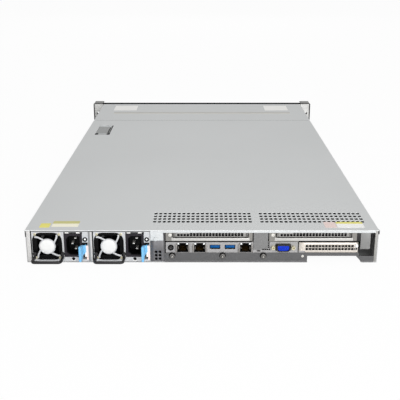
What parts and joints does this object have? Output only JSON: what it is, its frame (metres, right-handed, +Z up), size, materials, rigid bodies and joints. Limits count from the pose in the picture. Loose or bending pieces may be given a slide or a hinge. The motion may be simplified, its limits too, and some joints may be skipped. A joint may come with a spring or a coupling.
{
  "type": "rack server",
  "caption": "One-unit rack server with hot-swap drives, sliding cover with lever latch, vented rear blanks, data sockets and plug-in power supplies with fans and release tabs.",
  "frame": {"origin": "centre of the chassis underside, midway between its front and rear edges", "axes": "+Y towards the rear wall with its sockets, front with its drives towards -Y, +Z up, +X towards the power supplies"},
  "size_m": [0.4826, 0.826, 0.0432],
  "materials": {
    "tray_steel": "galvanised sheet steel, fine grain",
    "cover_steel": "pale satin sheet steel",
    "latch_grey": "moulded lever",
    "housing_plastic": "moulded rack ear housing",
    "button_plastic": "moulded push button",
    "front_steel": "dark painted perforated strip",
    "carrier_plastic": "moulded drive carrier",
    "lever_plastic": "moulded carrier lever",
    "board_green": "glass-fibre board with green mask",
    "heatsink_aluminium": "extruded aluminium fins",
    "duct_plastic": "moulded duct",
    "fan_plastic": "moulded fan",
    "supply_steel": "bright plated sheet steel",
    "handle_plastic": "moulded handle",
    "inlet_plastic": "moulded inlet",
    "release_blue": "moulded release tab",
    "plate_steel": "plated sheet steel",
    "slot_steel": "plated vented blank",
    "blank_steel": "plated vented blank, warm",
    "socket_metal": "plated connector shell",
    "screw_steel": "plated screw"
  },
  "bodies": {
    "chassis": {"chassis_tray": "tray_steel", "side_walls": "tray_steel", "rear_posts": "tray_steel", "rear_lip": "tray_steel", "board_standoffs": "tray_steel", "front_roof": "cover_steel", "rack_ears": "cover_steel", "ear_housings": "housing_plastic", "drive_cage": "tray_steel", "front_panel": "front_steel", "drive_backplane": "board_green", "motherboard": "board_green", "heat_sinks": "heatsink_aluminium", "memory_modules": "board_green", "air_duct": "duct_plastic", "fan_frames": "fan_plastic", "psu_cage": "tray_steel", "power_board": "board_green", "io_plate": "plate_steel", "network_jacks": "socket_metal", "usb_ports": "socket_metal", "video_connector": "socket_metal", "riser_frames": "plate_steel", "riser_cards": "board_green", "slot_covers": "slot_steel", "riser_divider": "tray_steel", "adapter_blank": "blank_steel", "rear_screws": "screw_steel"},
    "cover": {"top_cover": "cover_steel", "cover_folds": "cover_steel", "latch_pan": "cover_steel"},
    "cover_lever": {"cover_latch": "latch_grey"},
    "power_button": {"power_button": "button_plastic"},
    "find_button": {"find_button": "button_plastic"},
    "supply_1": {"psu_body_1": "supply_steel", "psu_fan_frame_1": "supply_steel", "psu_inlet_1": "inlet_plastic", "psu_handle_1": "handle_plastic"},
    "supply_1_rotor": {"psu_rotor_1": "fan_plastic"},
    "supply_1_latch": {"psu_latch_1": "release_blue"},
    "supply_2": {"psu_body_2": "supply_steel", "psu_fan_frame_2": "supply_steel", "psu_inlet_2": "inlet_plastic", "psu_handle_2": "handle_plastic"},
    "supply_2_rotor": {"psu_rotor_2": "fan_plastic"},
    "supply_2_latch": {"psu_latch_2": "release_blue"},
    "drive_1": {"drive_carrier_1": "carrier_plastic"},
    "drive_1_lever": {"drive_lever_1": "lever_plastic"},
    "drive_2": {"drive_carrier_2": "carrier_plastic"},
    "drive_2_lever": {"drive_lever_2": "lever_plastic"},
    "drive_3": {"drive_carrier_3": "carrier_plastic"},
    "drive_3_lever": {"drive_lever_3": "lever_plastic"},
    "drive_4": {"drive_carrier_4": "carrier_plastic"},
    "drive_4_lever": {"drive_lever_4": "lever_plastic"},
    "fan_1": {"fan_rotor_1": "fan_plastic"},
    "fan_2": {"fan_rotor_2": "fan_plastic"},
    "fan_3": {"fan_rotor_3": "fan_plastic"},
    "fan_4": {"fan_rotor_4": "fan_plastic"},
    "fan_5": {"fan_rotor_5": "fan_plastic"},
    "fan_6": {"fan_rotor_6": "fan_plastic"}
  },
  "joints": [
    {"name": "cover_slide", "type": "slide", "parent": "chassis", "child": "cover", "axis": [0, 1, 0], "range_m": [0, 0.012]},
    {"name": "cover_lever_hinge", "type": "hinge", "parent": "cover", "child": "cover_lever", "pos_m": [0.186, -0.1751, 0.0413], "axis": [1, 0, 0], "range_deg": [0, 75]},
    {"name": "power_button_press", "type": "slide", "parent": "chassis", "child": "power_button", "axis": [0, 1, 0], "range_m": [0, 0.001], "stiffness_N_per_m": 600, "springref_m": -0.001},
    {"name": "find_button_press", "type": "slide", "parent": "chassis", "child": "find_button", "axis": [0, -1, 0], "range_m": [0, 0.0008], "stiffness_N_per_m": 600, "springref_m": -0.001},
    {"name": "supply_1_slide", "type": "slide", "parent": "chassis", "child": "supply_1", "axis": [0, 1, 0], "range_m": [0, 0.19]},
    {"name": "supply_1_fan_spin", "type": "hinge", "parent": "supply_1", "child": "supply_1_rotor", "pos_m": [0.1914, 0.378, 0.0212], "axis": [0, 1, 0], "continuous": true},
    {"name": "supply_1_latch_press", "type": "hinge", "parent": "supply_1", "child": "supply_1_latch", "pos_m": [0.14455, 0.3588, 0.015], "axis": [0, 0, -1], "range_deg": [0, 3], "stiffness_Nm_per_rad": 6, "springref_deg": -1.15},
    {"name": "supply_2_slide", "type": "slide", "parent": "chassis", "child": "supply_2", "axis": [0, 1, 0], "range_m": [0, 0.19]},
    {"name": "supply_2_fan_spin", "type": "hinge", "parent": "supply_2", "child": "supply_2_rotor", "pos_m": [0.1152, 0.378, 0.0212], "axis": [0, 1, 0], "continuous": true},
    {"name": "supply_2_latch_press", "type": "hinge", "parent": "supply_2", "child": "supply_2_latch", "pos_m": [0.06835, 0.3588, 0.015], "axis": [0, 0, -1], "range_deg": [0, 3], "stiffness_Nm_per_rad": 6, "springref_deg": -1.15},
    {"name": "drive_1_slide", "type": "slide", "parent": "chassis", "child": "drive_1", "axis": [0, -1, 0], "range_m": [0, 0.15]},
    {"name": "drive_1_lever_hinge", "type": "hinge", "parent": "drive_1", "child": "drive_1_lever", "pos_m": [-0.2048, -0.399, 0.0155], "axis": [0, 0, -1], "range_deg": [0, 60]},
    {"name": "drive_2_slide", "type": "slide", "parent": "chassis", "child": "drive_2", "axis": [0, -1, 0], "range_m": [0, 0.15]},
    {"name": "drive_2_lever_hinge", "type": "hinge", "parent": "drive_2", "child": "drive_2_lever", "pos_m": [-0.0978, -0.399, 0.0155], "axis": [0, 0, -1], "range_deg": [0, 60]},
    {"name": "drive_3_slide", "type": "slide", "parent": "chassis", "child": "drive_3", "axis": [0, -1, 0], "range_m": [0, 0.15]},
    {"name": "drive_3_lever_hinge", "type": "hinge", "parent": "drive_3", "child": "drive_3_lever", "pos_m": [0.0092, -0.399, 0.0155], "axis": [0, 0, -1], "range_deg": [0, 60]},
    {"name": "drive_4_slide", "type": "slide", "parent": "chassis", "child": "drive_4", "axis": [0, -1, 0], "range_m": [0, 0.15]},
    {"name": "drive_4_lever_hinge", "type": "hinge", "parent": "drive_4", "child": "drive_4_lever", "pos_m": [0.1162, -0.399, 0.0155], "axis": [0, 0, -1], "range_deg": [0, 60]},
    {"name": "fan_1_spin", "type": "hinge", "parent": "chassis", "child": "fan_1", "pos_m": [-0.165, -0.1994, 0.0212], "axis": [0, 1, 0], "continuous": true},
    {"name": "fan_2_spin", "type": "hinge", "parent": "chassis", "child": "fan_2", "pos_m": [-0.099, -0.1994, 0.0212], "axis": [0, 1, 0], "continuous": true},
    {"name": "fan_3_spin", "type": "hinge", "parent": "chassis", "child": "fan_3", "pos_m": [-0.033, -0.1994, 0.0212], "axis": [0, 1, 0], "continuous": true},
    {"name": "fan_4_spin", "type": "hinge", "parent": "chassis", "child": "fan_4", "pos_m": [0.033, -0.1994, 0.0212], "axis": [0, 1, 0], "continuous": true},
    {"name": "fan_5_spin", "type": "hinge", "parent": "chassis", "child": "fan_5", "pos_m": [0.099, -0.1994, 0.0212], "axis": [0, 1, 0], "continuous": true},
    {"name": "fan_6_spin", "type": "hinge", "parent": "chassis", "child": "fan_6", "pos_m": [0.165, -0.1994, 0.0212], "axis": [0, 1, 0], "continuous": true}
  ],
  "couplings": [
    {"joint": "cover_lever_hinge", "follows": "cover_slide", "rad_per_m": 109.03}
  ]
}
